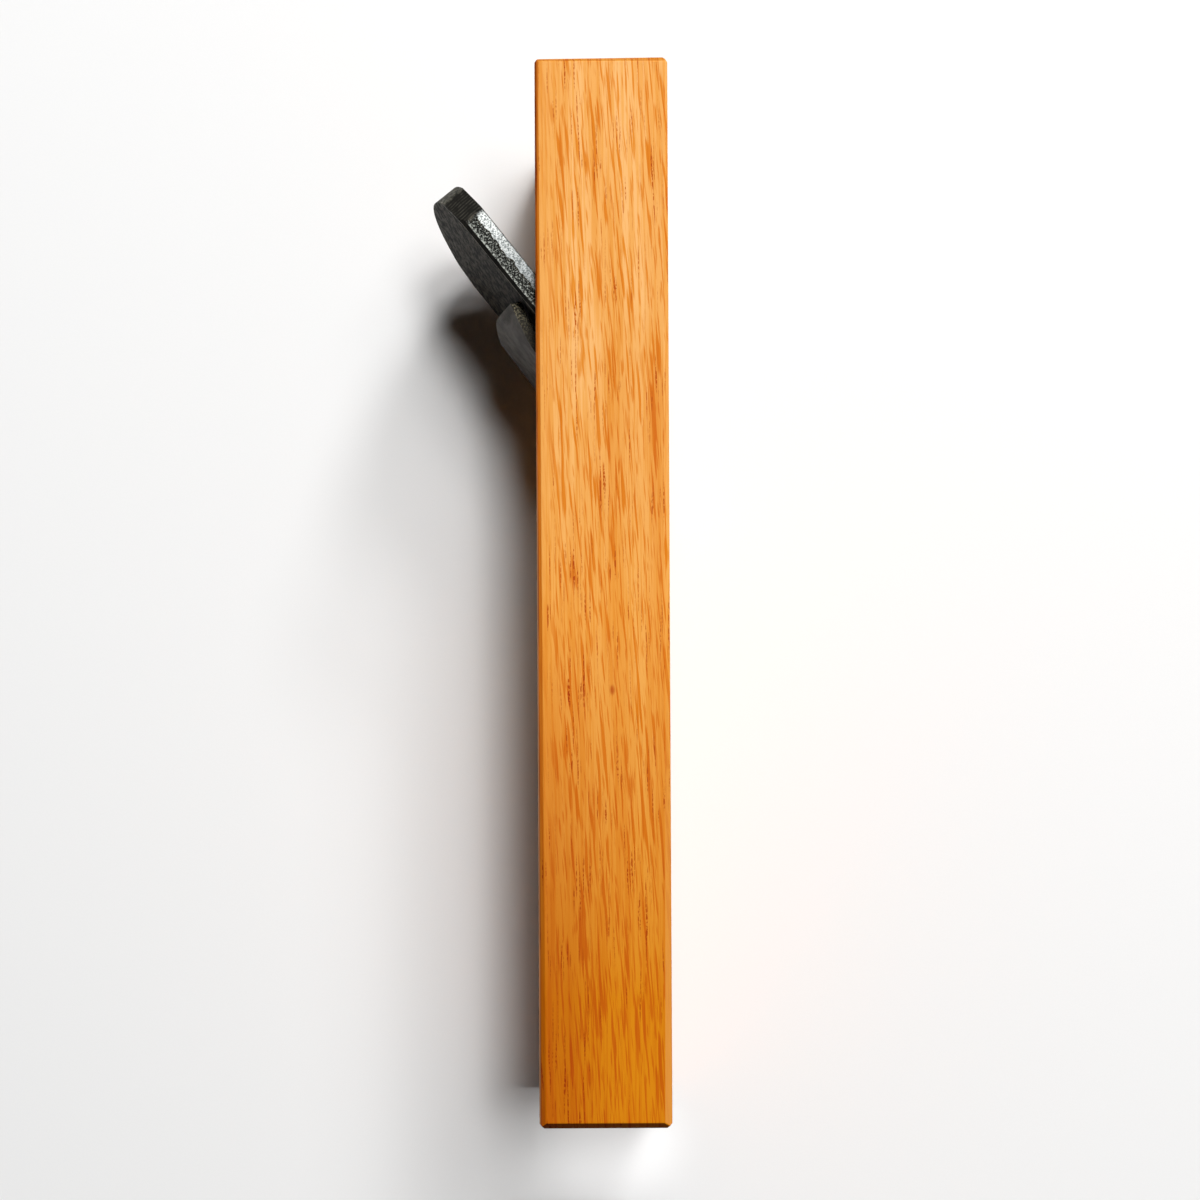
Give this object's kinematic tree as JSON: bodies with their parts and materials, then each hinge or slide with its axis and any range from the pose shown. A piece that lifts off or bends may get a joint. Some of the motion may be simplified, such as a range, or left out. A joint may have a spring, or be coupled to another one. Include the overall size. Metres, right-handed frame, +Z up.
{
  "type": "smoothing plane",
  "caption": "Wooden pull-type smoothing plane: hardwood block, wedged iron, chip breaker and steel cross pin, lying on its cheek.",
  "frame": {"origin": "middle of the lower cheek, the side face that the plane lies on", "axes": "+Y along the block to its heel, +X out of the sole, +Z up through the block's width"},
  "size_m": [0.0665, 0.29, 0.08],
  "materials": {
    "oiled_oak": "oiled, straight grain with short dark pores",
    "forged_steel": "black forge scale with ground edges",
    "breaker_steel": "dark satin, ground edges",
    "pin_steel": "drawn rod"
  },
  "bodies": {
    "block": {"body_block": "oiled_oak", "cross_pin": "pin_steel"},
    "iron": {"plane_iron": "forged_steel"},
    "breaker": {"chip_breaker": "breaker_steel"}
  },
  "joints": [
    {"name": "iron_slide", "type": "slide", "parent": "block", "child": "iron", "axis": [-0.6225, 0.7826, 0], "range_m": [-0.0008, 0.06]},
    {"name": "breaker_slide", "type": "slide", "parent": "iron", "child": "breaker", "axis": [-0.6284, 0.7779, 0], "range_m": [-0.0003, 0.05]}
  ]
}
